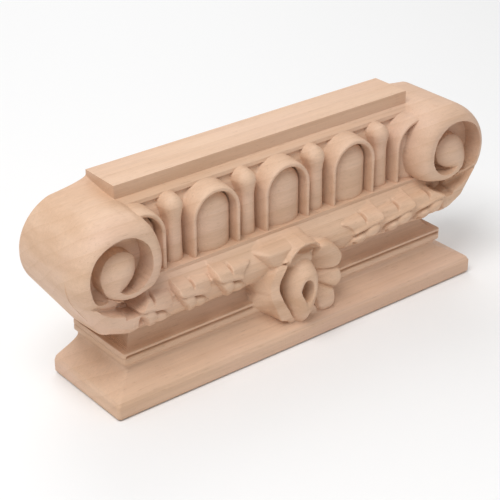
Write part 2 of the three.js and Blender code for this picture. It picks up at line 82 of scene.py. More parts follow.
# The stage in metres: the floor's half length and its gap under the capital, the point that the
# lamps face, and each lamp's name, place, size and share of the key light's power
FLOOR_REACH = 6.0
FLOOR_GAP = 0.0002
LIGHT_AIM = (0, 0, 0.045)
LIGHTS = (
    ("key", (-0.42, -0.16, 0.95), 0.6, 1.0),
    ("rear", (0.35, 0.75, 0.7), 0.7, 0.42),
)
# The camera's place in millimetres from the middle of the back's lower edge
CAMERA_PLACE = (-366.172, -463.336, 340.452)

# Outlines of the flower as (turn in degrees, share of its half width): the petals' edge and the
# inner edge and crest of the ruffled rim on its left
PETAL_EDGE = [
    (0, 0.93), (4, 0.9), (14, 1.01), (19, 1.02), (27, 0.98), (35, 0.96), (42, 0.94), (52, 0.88),
    (60, 0.79), (66, 0.81), (77, 0.87), (93, 0.885), (105, 0.855), (118, 0.8), (128, 0.72),
    (140, 0.82), (152, 0.94), (165, 0.97), (176, 0.96), (182, 0.92), (190, 1.03), (197, 1.05),
    (205, 0.98), (215, 0.9), (225, 0.87), (240, 0.81), (252, 0.86), (266, 0.87), (280, 0.86),
    (290, 0.87), (299, 0.9), (306, 0.98), (312, 1.04), (317, 1.07), (323, 1.01), (329, 0.94),
    (335, 0.89), (341, 0.95), (348, 0.985), (354, 0.96), (360, 0.93),
]
RIM_INNER = [
    (120, 0.66), (128, 0.65), (150, 0.65), (168, 0.62), (190, 0.555), (212, 0.52), (228, 0.56),
    (240, 0.63), (250, 0.7),
]
RIM_CREST = [
    (120, 0.78), (128, 0.79), (149, 0.805), (163, 0.81), (178, 0.785), (193, 0.75), (207, 0.74),
    (226, 0.8), (240, 0.86), (250, 0.9),
]

# A scroll as (turn in degrees, millimetres): the roll's edge, which winds in under the eye, the
# channel's inner and outer radius and its slope's width, and the eye's fall from its middle
ROLL_EDGE = [
    (90, 21.6), (108, 22.2), (118, 22.8), (130, 23), (145, 22.6), (160, 22), (180, 21.6),
    (200, 21), (213, 19.2), (221, 17.3), (228, 15.8), (242, 13.9), (259, 12.3), (270, 11.6),
    (280, 11.1), (294, 10.9), (320, 10.9),
]
CHANNEL_INNER = [
    (290, 10.9), (308, 10.7), (325, 10.1), (344, 9.4), (378, 8.6), (400, 8.3), (450, 8.4),
    (510, 8.9), (540, 8.4), (575, 7.8), (605, 7.3), (634, 6.8), (650, 6.5),
]
CHANNEL_OUTER = [
    (290, 11.8), (297, 12.6), (309, 14), (320, 15), (332, 15.5), (349, 15.4), (373, 15.9),
    (400, 16.2), (430, 15.7), (463, 15.8), (499, 15.1), (519, 14.2), (548, 13.4), (575, 11.8),
    (600, 10.2), (622, 8.7), (640, 7.4), (650, 6.6),
]
CHANNEL_SLOPE = [(306, 1.6), (400, 1.6), (480, 3), (560, 3.4), (610, 2), (650, 0.6)]
EYE_FALL = [
    (290, 0.3), (305, 0.8), (325, 2.2), (360, 4), (400, 4.8), (450, 5), (540, 5), (590, 4),
    (620, 2.4), (640, 0.9), (650, 0.3),
]

# The foot under a scroll as (distance from the middle, millimetres): the height of its lip and
# the reach of the hollow over it
FOOT_LIP = [(80, 38.4), (84.5, 40.8), (88, 42.3), (92, 43.4), (97, 45), (101, 47.2), (104, 50)]
POCKET_FLOOR = [
    (79, 36), (82, 33.6), (85, 32), (88, 34.6), (92, 37.4), (97, 38.8), (101, 40.6), (104, 42.4),
]


def length(name, description, value):
    """A size in metres, given here in millimetres"""
    return FloatProperty(
        name=name, description=description, default=value * MM, unit="LENGTH", precision=5
    )


def tint(name, description, value):
    """A colour of a finish"""
    return FloatVectorProperty(name=name, description=description, subtype="COLOR", default=value)


class FootSizes(bpy.types.PropertyGroup):
    slab_length: length("Slab length", "Length of the slab at the bottom", 200)
    slab_depth: length("Slab depth", "Depth of the slab from its back to its front", 47.7)
    slab_edge: length("Slab edge", "Height of the slab's upright edge", 7.2)
    slab_round: length("Slab rounding", "Rounding of the slab's edges and corners", 1.4)
    flare_rise: length("Flare rise", "Height of the hollow flare above the slab", 7.7)
    flare_setback: length("Flare setback", "How far the flare draws in", 12.2)
    bead_start: length("Bead start", "Height of the underside of the bead", 16.8)
    bead_height: length("Bead height", "Height of the bead", 3.2)
    neck_setback: length("Neck setback", "How far the bead and fillet stand in from the slab", 10.5)
    groove_width: length("Groove width", "Width of the quirk above the bead", 0.8)
    groove_depth: length("Groove depth", "Depth of the quirk above the bead", 1.9)
    fillet_height: length("Fillet height", "Height of the flat fillet above the quirk", 1.6)
    cove_height: length("Cove height", "Height of the cove above the neck", 7.2)
    cove_setback: length("Cove setback", "How far the cove draws in beyond the neck", 7.4)


class HeadSizes(bpy.types.PropertyGroup):
    top_length: length("Top length", "Length of the straight block on top", 159)
    top_depth: length("Top depth", "Depth of the straight block on top", 20)
    top_face: length("Top face", "Height of the top block's upright face", 6)
    mould_height: length("Moulding height", "Height of the moulding under the top block", 3.3)
    mould_depth: length("Moulding depth", "Reach of the moulding from the back", 23.6)
    sweep_top: length("Sweep top", "Height where the side sweeps start on the top block's ends", 86.3)


class BandSizes(bpy.types.PropertyGroup):
    floor_height: length("Band floor", "Height of the ledge that the eggs stand on", 51.5)
    ground_depth: length("Ground depth", "Reach of the sunk ground from the back", 24.5)
    cove_depth: length("Cove depth", "Reach of the ground where it hollows under the moulding", 22.2)
    pitch: length("Pitch", "Distance from one egg to the next", 37.85)
    arch_radius: length("Arch radius", "Outer radius of the rim round each egg", 12.8)
    arch_rim: length("Arch rim", "Width of the rim round each egg", 2.6)
    arch_spring: length("Arch spring", "Height where the rim turns from straight to round", 67.2)
    arch_depth: length("Arch depth", "Reach of the rim from the back", 32.7)
    egg_radius: length("Egg half width", "Half the width of an egg", 9.8)
    egg_crest: length("Egg crest", "Reach of an egg's crest from the back", 32.1)
    egg_shoulder: length("Egg shoulder", "Reach of an egg's sides from the back", 26.6)
    dart_top: length("Dart top", "Height of a dart's round top", 80.6)
    dart_head: length("Dart head", "Half the width of a dart's head", 4.9)
    dart_foot: length("Dart foot", "Half the width of a dart's foot", 4.1)
    dart_neck: length("Dart neck", "Half the width of a dart's neck", 3.5)
    dart_depth: length("Dart depth", "Reach of a dart from the back", 30.6)
    ledge_depth: length("Ledge depth", "Reach of the ledge from the back", 33.8)
    ledge_thickness: length("Ledge thickness", "Thickness of the ledge", 1.6)


class ScrollSizes(bpy.types.PropertyGroup):
    offset: length("Offset", "Distance of a scroll's eye from the middle of the capital", 90.9)
    height: length("Height", "Height of a scroll's eye", 61.5)
    radius: length("Radius", "Outer radius of the roll", 21.6)
    depth: length("Depth", "Reach of the roll's face from the back", 42.5)
    round_width: length("Rounding width", "How far the rounding runs over the roll's face", 6)
    round_depth: length("Rounding depth", "How far the rounding runs back along the roll", 12)
    channel_floor: length("Channel floor", "Reach of the channel's floor from the back", 33.4)
    foot_half: length("Foot half length", "Distance of the flank's foot from the middle", 89.4)
    foot_rise: length("Foot rise", "How far the roll's underside rises to the front", 15)


class SwagSizes(bpy.types.PropertyGroup):
    crest_depth: length("Belt crest", "Reach of the plain belt beside the flower", 40.4)
    crest_height: length("Belt crest height", "Height of the belt's crest", 39.5)
    lip_depth: length("Belt lip", "Reach of the belt's lower lip", 34.5)
    bottom: length("Belt bottom", "Height of the belt's lower edge", 29.8)
    start: length("Swag start", "Distance of a swag's inner tip from the middle", 23.4)
    first_edge: length("First leaf edge", "Distance of the first leaf's outer edge from the middle", 47)
    leaf_pitch: length("Leaf pitch", "Distance from one leaf's edge to the next", 19.6)
    leaf_slant: length("Leaf slant", "How far a leaf's edge slants to the middle at its foot", 6.7)
    leaf_lift: length("Leaf lift", "How far a leaf's edge stands over the next leaf", 4.4)
    shelf_height: length("Shelf height", "Height of the swag's flat top", 48.6)
    body_depth: length("Swag depth", "Reach of the leaves from the back", 42.6)


class FlowerSizes(bpy.types.PropertyGroup):
    height: length("Height", "Height of the flower's middle", 27)
    half_width: length("Half width", "Half the width over the petals", 23)
    petal_depth: length("Petal depth", "Reach of the petals' lips from the back", 44.8)
    bud_half_width: length("Bud half width", "Half the width of the bud", 8.6)
    bud_crest: length("Bud crest", "Reach of the bud from the back", 50.7)
    hole_half_width: length("Hole half width", "Half the width of the bud's hole", 2.8)


class MeshFineness(bpy.types.PropertyGroup):
    step: length("Step", "Distance between points of the surface before it is thinned", 0.3)
    fine_step: length("Fine step", "Distance between rows over the tops of the rolls", 0.12)
    triangles: IntProperty(
        name="Triangles", description="Triangles that the thinned surface keeps",
        default=190000, min=20000, max=199000,
    )


class WoodFinish(bpy.types.PropertyGroup):
    pale: tint("Pale wood", "Colour of the early wood", (0.72, 0.49, 0.34))
    tan: tint("Tan wood", "Colour of the late wood", (0.58, 0.355, 0.215))
    pink: tint("Pink cast", "Faint pink cast in broad patches", (0.70, 0.47, 0.36))
    pore: tint("Pore", "Colour of the open pores", (0.40, 0.24, 0.14))
    roughness: FloatProperty(
        name="Roughness", description="Roughness of the bare wood",
        default=0.55, min=0, max=1, subtype="FACTOR",
    )


class StageSettings(bpy.types.PropertyGroup):
    floor: tint("Floor", "Colour of the floor", (0.9, 0.9, 0.9))
    room: FloatProperty(
        name="Room light", description="Strength of the even light all round", default=0.5, min=0
    )
    key: FloatProperty(
        name="Key light", description="Power of the large soft light", default=6.5, min=0, unit="POWER"
    )
    focal: FloatProperty(
        name="Lens", description="Focal length of the camera in millimetres", default=106.78, min=10
    )
    turn: FloatProperty(
        name="Camera turn", description="Turn of the camera about the upright",
        default=radians(-38.717), unit="ROTATION",
    )
    tilt: FloatProperty(
        name="Camera tilt", description="Angle by which the camera looks down",
        default=radians(28.113), unit="ROTATION",
    )


GROUPS = {
    "capital_foot": FootSizes,
    "capital_head": HeadSizes,
    "capital_band": BandSizes,
    "capital_scroll": ScrollSizes,
    "capital_swag": SwagSizes,
    "capital_flower": FlowerSizes,
    "capital_mesh": MeshFineness,
    "capital_wood": WoodFinish,
    "capital_stage": StageSettings,
}


def millimetres(settings):
    """All lengths of a group of settings, as plain numbers in millimetres"""
    return SimpleNamespace(**{
        name: getattr(settings, name) / MM for name in type(settings).__annotations__
    })


def clamp(value):
    """The value held between 0 and 1"""
    return np.clip(value, 0, 1)


def ease(low, high, value):
    """0 below low and 1 above high, with a soft start and end"""
    share = clamp((value - low) / (high - low))
    return share * share * (3 - 2 * share)


def bump(value, centre, spread):
    """A smooth bump, 1 at its centre and near 0 from twice its spread outward"""
    return np.exp(-(((value - centre) / spread) ** 2))


def quarter_round(distance, width, height):
    """Fall of an elliptical rounding, height at the edge and nothing from width inward"""
    share = clamp(1 - distance / width)
    return height * (1 - np.sqrt(clamp(1 - share * share)))


def soft_least(first, second, width):
    """The smaller of two depths, with the crease between them rounded over that width"""
    share = clamp(0.5 + 0.5 * (second - first) / width)
    return second + (first - second) * share - width * share * (1 - share)


def table(value, points):
    """Straight-line reading of a short table of (position, value) pairs"""
    return np.interp(value, [p[0] for p in points], [p[1] for p in points])


class Capital:
    """The carved face as a depth forward from the flat back, by place along the length and height

    x runs along the length from the middle, z up from the underside, all in millimetres.
    """

    def __init__(self, scene):
        for name in ("foot", "head", "band", "scroll", "swag", "flower"):
            setattr(self, name, millimetres(getattr(scene, "capital_" + name)))
        foot, scroll = self.foot, self.scroll
        self.height = BLOCK_HIGH.z / MM
        self.slab_half = foot.slab_length / 2
        self.bead_top = foot.bead_start + foot.bead_height
        self.groove_top = self.bead_top + foot.groove_width
        self.neck_top = self.groove_top + foot.fillet_height
        self.top_half = self.head.top_length / 2
        self.face_bottom = self.height - self.head.top_face
        self.mould_bottom = self.face_bottom - self.head.mould_height
        foot_x, foot_z = scroll.foot_half - scroll.offset, self.neck_top - scroll.height
        reach = np.hypot(foot_x, foot_z)
        self.flank_turn = np.arctan2(foot_z, foot_x) + np.arccos(scroll.radius / reach)
        self.touch_x = scroll.offset + scroll.radius * cos(self.flank_turn)
        self.touch_z = scroll.height + scroll.radius * sin(self.flank_turn)

    def setback(self, z):
        """How far the slab, flare, bead, fillet and cove stand in from the slab's faces"""
        foot = self.foot
        under = quarter_round(z, foot.slab_round, foot.slab_round)
        climb = clamp((z - foot.slab_edge) / foot.flare_rise)
        flare = foot.flare_setback * np.sin(pi / 2 * climb) ** 1.4
        edge = 0.5 * bump(z, foot.slab_edge, 0.5)
        middle = foot.bead_start + foot.bead_height / 2
        bead = foot.neck_setback + BEAD_SWELL * np.abs((z - middle) / (foot.bead_height / 2)) ** 5
        fillet = foot.neck_setback + 0.25 * ease(self.neck_top - 0.35, self.neck_top, z)
        rise = clamp((z - self.neck_top) / foot.cove_height)
        hollow = (foot.cove_setback - COVE_STEP) * np.sqrt(1 - (1 - rise) ** 2)
        cove = foot.neck_setback + COVE_STEP + hollow
        inward = np.where(z < foot.bead_start, under + flare + edge, bead)
        inward = np.where(z > self.bead_top, fillet, inward)
        return np.where(z > self.neck_top, cove, inward)

    def outline(self, z):
        """Half length of the back at each height"""
        scroll, head = self.scroll, self.head
        x = self.slab_half - self.setback(z)
        along = (z - self.neck_top) / (self.touch_z - self.neck_top)
        flank = scroll.foot_half + along * (self.touch_x - scroll.foot_half)
        roll = scroll.offset + np.sqrt(np.clip(scroll.radius**2 - (z - scroll.height) ** 2, 0, None))
        x = np.where(z > self.neck_top, flank, x)
        x = np.where(z > self.touch_z, roll, x)
        sweep_start = scroll.height + scroll.radius - 0.9
        rise = clamp((z - sweep_start) / (head.sweep_top - sweep_start))
        start_x = scroll.offset + np.sqrt(scroll.radius**2 - (sweep_start - scroll.height) ** 2)
        sweep = self.top_half + (start_x - self.top_half) * (1 - rise) ** 2.1
        x = np.where(z > sweep_start, sweep, x)
        x = np.minimum(x, BLOCK_HIGH.x / MM - 0.02)
        return np.where(z > head.sweep_top, self.top_half, x)

    def underside(self, x, z):
        """Reach of the hollow underside of the rolls, flatter toward the ends"""
        rise = self.scroll.foot_rise + END_RISE * ease(*END_SPAN, x)
        share = clamp((z - self.neck_top) / rise)
        return self.scroll.depth * (1 - (1 - share) ** 2) + 5 * ease(0.8, 1, share)

    def block(self, x, z):
        """Slab, neck, plain ground, mouldings and top block"""
        foot, head, band, swag = self.foot, self.head, self.band, self.swag
        depth = foot.slab_depth - self.setback(z)
        groove = bump(z, (self.bead_top + self.groove_top) / 2, foot.groove_width * 0.55)
        neck_half = self.slab_half - foot.neck_setback
        depth = depth - foot.groove_depth * groove * ease(0, 0.6, neck_half - 1 - x)
        end = self.slab_half - self.setback(z)
        corner = quarter_round(end - x, foot.slab_round, foot.slab_round)
        depth = depth - corner * (z < self.neck_top)
        under = self.flank_face(x, z, *self.turn_about_eye(x, z))
        beyond = (z > self.neck_top) & (x > end)
        above = np.where(z < self.scroll.height, self.scroll.channel_floor, 0)
        under = np.where(z < self.neck_top + self.scroll.foot_rise + END_RISE, under, above)
        depth = np.where(beyond, under, depth)
        belt_top = band.floor_height - band.ledge_thickness
        crest_z, crest = swag.crest_height, swag.crest_depth
        belt = table(z, [
            (swag.bottom, swag.lip_depth - 4), (swag.bottom + 0.4, swag.lip_depth),
            (swag.bottom + 3.5, swag.lip_depth + 3.5), (crest_z - 3.5, crest - 0.9), (crest_z, crest),
            (crest_z + 3.5, crest - 1.1), (crest_z + 6.5, crest - 3.2),
            (belt_top - 0.5, band.ledge_depth + 0.3),
            (belt_top, band.ledge_depth - 0.3), (belt_top + 0.3, band.ledge_depth),
            (band.floor_height, band.ledge_depth),
        ])
        ground = table(z, [
            (band.floor_height, band.ground_depth), (self.mould_bottom - 7, band.ground_depth),
            (self.mould_bottom - 4, band.ground_depth - 0.6),
            (self.mould_bottom - 1.5, band.cove_depth + 0.5), (self.mould_bottom, band.cove_depth),
        ])
        mould = table(z, [
            (self.mould_bottom, head.mould_depth),
            (self.mould_bottom + 1.6, head.mould_depth - 0.3),
            (self.face_bottom - 0.7, head.top_depth + 1.4), (self.face_bottom, head.top_depth + 0.3),
        ])
        upper = np.where(z > band.floor_height, ground, belt)
        upper = np.where(z > self.mould_bottom, mould, upper)
        upper = np.where(z > self.face_bottom, head.top_depth, upper)
        upper = np.where((x > self.top_half) & (z > self.mould_bottom), 0, upper)
        return np.where((z > swag.bottom) & ~beyond, upper, depth)

    def from_arch_middle(self, x, z, centre):
        """Distance outward from an arch's upright middle line and, over it, from its round's centre"""
        across = np.abs(x - centre)
        above = z - self.band.arch_spring
        return np.where(above > 0, np.hypot(across, above), across)

    def arch(self, x, z, centre):
        """One egg in its rimmed arch"""
        band = self.band
        out = self.from_arch_middle(x, z, centre)
        ground = band.ground_depth - SUNK_ROOT
        half_rim = band.arch_rim / 2
        middle = band.arch_radius - half_rim
        inner = band.arch_radius - band.arch_rim
        crown = band.arch_depth - 0.7 * ((out - middle) / half_rim) ** 2
        crown = crown - 3 * np.clip((out - middle - 0.2) / half_rim, 0, 1.3) ** 2
        rim = ground + (crown - ground) * ease(band.arch_radius + 0.9, band.arch_radius - 0.5, out)
        inside_wall = ease(inner - 0.5, inner + 0.15, out)
        rim = np.where(out < middle, ground + 2 + (crown - ground - 2) * inside_wall, rim)
        share = clamp(1 - (out / band.egg_radius) ** 2)
        egg = band.egg_shoulder + (band.egg_crest - band.egg_shoulder) * share**0.6
        egg = ground + (egg - ground) * ease(band.egg_radius + 0.3, band.egg_radius - 0.5, out)
        carved = np.maximum(rim, egg)
        inside = (out < band.arch_radius + 0.5) & (z > band.floor_height)
        return np.where(inside, carved, 0)

    def dart(self, x, z, centre):
        """One dart between two arches"""
        band = self.band
        across = np.abs(x - centre)
        neck = band.dart_top - 12
        half = table(z, [
            (band.floor_height, band.dart_foot), (band.floor_height + 7, band.dart_neck + 0.3),
            (neck, band.dart_neck), (neck + 2.5, band.dart_neck + 0.25),
            (neck + 4.2, band.dart_neck + 0.7), (neck + 5.8, band.dart_head - 0.3),
            (neck + 7.2, band.dart_head),
        ])
        middle = band.dart_top - band.dart_head
        above = clamp((z - middle) / band.dart_head)
        half = np.where(z > middle, band.dart_head * np.sqrt(1 - above * above), half)
        share = clamp(1 - (across / np.maximum(half, 0.05)) ** 2)
        in_head = ease(neck, middle, z)
        fall = 3.2 + 2.2 * in_head
        crown = band.dart_depth + 0.9 * in_head - fall * (1 - np.sqrt(share))
        crown = crown - 5.2 * (1 - np.sqrt(1 - above * above))
        ground = band.ground_depth - SUNK_ROOT
        depth = ground + (crown - ground) * ease(0.3, -0.3, across - half)
        return np.where((z > band.floor_height) & (z < band.dart_top) & (across < half + 0.4), depth, 0)

    def leaf_edge(self, z, number):
        """Distance from the middle of a leaf's outer edge, counted from the flower outward"""
        swag = self.swag
        slant = swag.leaf_slant * np.clip((46 - z) / 12, 0, 1.3) ** 1.2
        return swag.first_edge + swag.leaf_pitch * number - slant

    def mound(self, x, z, centre, halves, lean):
        """Height share of a smooth oval mound, 1 in its middle and 0 from its rim outward"""
        dx, dz = x - centre[0], z - centre[1]
        along = dx * cos(radians(lean)) + dz * sin(radians(lean))
        across = dz * cos(radians(lean)) - dx * sin(radians(lean))
        return np.sqrt(clamp(1 - (along / halves[0]) ** 2 - (across / halves[1]) ** 2))

    def garland(self, x, z):
        """One side's swag, three thick leaves whose outer edges lap over the next"""
        swag = self.swag
        number = np.clip(np.floor((x - self.leaf_edge(z, -1)) / swag.leaf_pitch), 0, 2)
        edge = self.leaf_edge(z, number)
        share = clamp(1 - (edge - x) / swag.leaf_pitch)
        crease = swag.first_edge + swag.leaf_pitch * (number - 0.49)
        notch = swag.first_edge + swag.leaf_pitch * number
        sunk = 3 * bump(x, notch - 0.3, 0.55) + 2.6 * bump(x, crease, 0.5) + 1.3 * (1 - share)
        sunk = sunk + 2.8 * bump(x, notch - swag.leaf_pitch + 0.2, 0.55) * (number > 0)
        bottom, shelf = swag.bottom, swag.shelf_height
        profile = table(z + sunk * ease(swag.crest_height + 2.5, swag.crest_height + 4.5, z), [
            (bottom, 33.6), (bottom + 0.5, 35), (bottom + 2, 36.8), (bottom + 4.5, 39.2),
            (bottom + 7.5, 41.4), (bottom + 10.5, 42.5), (bottom + 13.5, swag.body_depth),
            (shelf - 3, 42.3), (shelf - 2.1, 41.3), (shelf - 1.5, 39.6), (shelf - 0.8, 37),
            (shelf, 34.4), (shelf + 0.8, 33),
        ])
        below = bottom + 4 + 9.4 * share**0.7 - z
        plate = profile - 2.4 + swag.leaf_lift * share**1.3
        plate = plate + 0.8 * bump(below, -1.4, 1.2) * ease(0.1, 0.4, share)
        plate = np.where(below > 0, profile - LOBE_GROUND, plate)
        for offset, height, half_width, half_height, lean, rise in (
            (5.8, 38.4, 6.2, 4.2, 36, 7.6), (13, 35.4, 6, 3.2, 32, 7),
            (8.8, 32.6, 6, 2.4, 14, 6.4), (17.6, 33.2, 3.8, 2.2, 26, 5.6),
        ):
            mound = self.mound(x, z, (notch - offset, height), (half_width, half_height), lean)
            lobe = profile - LOBE_GROUND + rise * mound**0.5
            plate = np.maximum(plate, np.where((mound > 0) & (below > -1), lobe, 0))
        depth = plate - quarter_round(edge - x, 1.5, 3.4)
        vein = x + 1.1 * (z - 33)
        depth = depth - 2.8 * bump(vein, edge - 7.2, 0.6) * ease(35.8, 34.6, z) * ease(30.6, 31.6, z)
        depth = depth - 2.2 * bump(vein, edge - 13.6, 0.55) * ease(34.4, 33.4, z) * ease(31.2, 32, z)
        pit = bump(x - self.leaf_edge(z, number - 1), 0.8, 1) * (number > 0)
        depth = depth - 6 * pit * ease(33.5, 35.5, z) * ease(43, 40.5, z)
        tip = swag.start - 1.6 + 6.5 * clamp((z - 39) / 9) ** 1.5
        inner = x - (tip + 3.5 * clamp((36 - z) / 6) ** 1.5)
        scoop = 2.2 * self.mound(x, z, (27.4, 41.3), (4.6, 2.6), -38) ** 1.5
        depth = depth - quarter_round(inner, 2.2, 3) - scoop
        present = (inner > 0) & (x < self.leaf_edge(z, 2)) & (z > bottom) & (z < shelf + 0.8)
        return np.where(present, depth, 0)

    def fold_beside_flower(self, x, z):
        """The soft fold where the belt meets the flower; its lower border rises outward"""
        from_border = 0.678 * (z - 38.5) - 0.735 * (x - 16.5)
        swell = 1 - quarter_round(from_border, 4.5, 1)
        ledge_depth = self.band.ledge_depth
        swollen = self.swag.crest_depth + 2.6 - ledge_depth
        reach = ledge_depth + swollen * ease(self.band.floor_height - 1.2, 45.5, z)
        reach = reach - 3.5 * ease(17, 25, x)
        return np.where((from_border > 0) & (x > 6) & (z < 50), reach - 4 * (1 - swell), 0)

    def slope_over_flower(self, x, z):
        """The slope that runs from the ledge down to the rim of the flower's top petal"""
        rim_z = table(x, [
            (-12, 40.5), (-10.2, 41.2), (-8.6, 43.2), (-5.1, 46), (-1, 47.4), (4.5, 46.5),
            (8, 43.5), (10, 45), (14, 46.8), (18, 47.5),
        ])
        ledge_z = self.band.floor_height - self.band.ledge_thickness
        share = clamp((z - rim_z) / (ledge_z - rim_z))
        lip = self.flower.petal_depth + 0.7
        slope = lip - (lip - self.band.ledge_depth) * share**0.85
        slope = slope - 7 * ease(-8, -18, x) - 10 * ease(2, 10, x)
        return np.where((z >= rim_z - 0.4) & (z < ledge_z + 0.1) & (np.abs(x) < 18), slope, 0)

    def petals(self, x, z):
        """The open flower: ruffled petals, the hollow inside them and the curled bud with its hole"""
        flower = self.flower
        dz = z - flower.height
        turn = np.degrees(np.arctan2(dz, x)) % 360
        r = np.hypot(x, dz)
        edge = flower.half_width * table(turn, PETAL_EDGE)
        creases = (4, 60, 128, 182, 240, 299, 335)
        between = np.interp(turn, [-36, *creases, 364], range(9)) % 1
        arc = np.sin(pi * between)
        cut = np.zeros_like(r)
        for angle in creases:
            off = np.abs((turn - angle + 180) % 360 - 180)
            cut = np.maximum(cut, bump(radians(1) * off * r, 0, 0.75))
        out = clamp((r - 9) / (edge - 9))
        lip = flower.petal_depth
        open_petal = lip - 6.4 + 6.4 * np.sin(pi / 2 * clamp(out / 0.82))
        open_petal = open_petal - 1.2 * ease(0.84, 1, out)
        open_petal = open_petal - 1.5 * (1 - arc**0.5) - 1.2 * cut
        from_edge = edge - r
        cup = lip + 0.9 - 3.8 * ease(0.7, 3, from_edge) + 1.4 * ease(4.4, 7.5, from_edge)
        cup = cup - 1.6 * self.mound(x, z, (2.4, 43.4), (8, 2.6), -6) - 1.2 * cut
        inner = flower.half_width * table(turn, RIM_INNER)
        ruffle = np.sin(radians(1) * turn * 8)
        crest = np.minimum(flower.half_width * table(turn, RIM_CREST) + 0.35 * ruffle, edge - 0.4)
        band_fall = 1.5 * clamp((r - inner) / (crest - inner))
        fall = 7.4 * clamp((r - crest) / (edge - crest)) ** 0.8
        rim = lip + 0.3 - band_fall - fall + 0.3 * ruffle
        rim = FLOWER_HOLLOW + (rim - FLOWER_HOLLOW) * ease(-0.7, 0.5, r - inner)
        bottom = lip - 1.2 - 1.2 * cut
        depth = np.where((turn > 128) & (turn < 250), rim, open_petal)
        depth = np.where((turn > 60) & (turn <= 128), cup, depth)
        depth = np.where((turn >= 250) & (turn < 299), bottom, depth)
        joined = ease(56, 66, turn) * ease(132, 122, turn)
        depth = depth - quarter_round(from_edge, 1.2, 1.6) * (1 - 0.9 * joined)
        gap = self.mound(x, z, (6.6, 17), (5.2, 1.7), -68)
        depth = np.where(from_edge > 0, depth - 1.8 * gap, 0)
        depth = np.maximum(depth, self.bud(x, z, depth > 0))
        for slope in (-0.8, 0.55):
            stroke = bump(x, 2.4 + slope * (12.3 - z), 0.5) * ease(12.6, 11.8, z) * ease(7.8, 8.8, z)
            depth = depth - 1.9 * stroke
        return depth

    def bud(self, x, z, present):
        """The curled bud, a swollen teardrop with a hole that leads down to its tail"""
        flower = self.flower
        bx, bz = x + 1.1, z - flower.height - 1
        right = flower.bud_half_width + 0.4 - 1.4 * ease(-3, -13, bz)
        half_width = np.where(bx < 0, flower.bud_half_width, right)
        half_height = np.where(bz > 0, 12.6, 23.5)
        around = np.hypot(bx / half_width, bz / half_height)
        swell = clamp(1 - around**2.3) ** 0.58
        bud = BUD_ROOT + (flower.bud_crest - BUD_ROOT) * swell
        hx = (x + 2.0) / flower.hole_half_width
        hz = z - flower.height + 0.4
        hz = np.where(hz > 0, hz / 4.7, hz / 6.2)
        hole = np.hypot(hx / (1 - 0.45 * ease(-0.1, -1, hz)), hz)
        bud = bud - 0.9 * ease(1.45, 1.0, hole)
        sunk = HOLE_FLOOR + (bud - HOLE_FLOOR) * ease(0.86, 1.04, hole)
        bud = np.where(hole < 1.04, sunk, bud)
        return np.where(present & (around < 1), bud, 0)

    def turn_about_eye(self, x, z):
        """Distance from a scroll's eye and turn about it, from 0 at the outer side, 90 at the top"""
        dx, dz = x - self.scroll.offset, z - self.scroll.height
        return np.hypot(dx, dz), np.degrees(np.arctan2(dz, dx)) % 360

    def roll_top(self, x):
        """Height of the roll's upper edge"""
        turn = np.linspace(150, 90, 60)
        edge = table(turn, ROLL_EDGE)
        points = self.scroll.offset + edge * np.cos(np.radians(turn))
        return np.interp(x, points, self.scroll.height + edge * np.sin(np.radians(turn)))

    def from_flank(self, x, z, r, turn):
        """Distance inward from the roll's outer side and from the straight flank below it"""
        to_flank = (self.touch_x - x) * cos(self.flank_turn) + (self.touch_z - z) * sin(self.flank_turn)
        below = (turn > 200) & (turn < np.degrees(self.flank_turn) % 360)
        return np.where(below, to_flank, self.scroll.radius - r)

    def flank_face(self, x, z, r, turn):
        """Reach of the rounded outer side of a scroll, with its hollow underside"""
        scroll = self.scroll
        fall = quarter_round(self.from_flank(x, z, r, turn), scroll.round_width, scroll.round_depth)
        return soft_least(self.underside(x, z), scroll.depth - fall, UNDERSIDE_BLEND)

    def scroll_face(self, x, z, r, turn):
        """The solid roll of one scroll, its sweep up to the top block and its flank"""
        scroll = self.scroll
        to_edge = table(turn, ROLL_EDGE) - r
        edge_width = table(turn, [(150, 6), (200, 5.6), (225, 3.6), (245, 2.4), (275, 2)])
        edge_fall = table(turn, [(150, 12), (200, 10), (225, 6), (245, 4), (275, 3)])
        ring = scroll.depth - quarter_round(to_edge, edge_width, edge_fall)
        roll_top = self.roll_top(x)
        limit = np.maximum(self.outline_height(x), roll_top + 0.05)
        along = clamp((z - roll_top) / (limit - roll_top))
        sweep = (scroll.depth - scroll.round_depth) * (1 - along) ** 1.5
        side = self.flank_face(x, z, r, turn)
        inner_half = x < scroll.offset
        upper = z > scroll.height
        depth = np.where(upper & inner_half & (to_edge > 0), ring, 0)
        over = upper & inner_half & (to_edge <= 0) & (z > roll_top - 1) & (z < limit) & (x > 70)
        depth = np.where(over, sweep, depth)
        depth = np.where(~upper & inner_half & (to_edge > 0) & (turn < 276), ring, depth)
        under_eye = (turn >= 270) & (turn < 335) & (to_edge > 0) & (r > 6)
        side = np.where(under_eye, np.minimum(side, ring + 3 * ease(315, 335, turn)), side)
        return np.where(~inner_half & (z > self.neck_top + 5), side, depth)

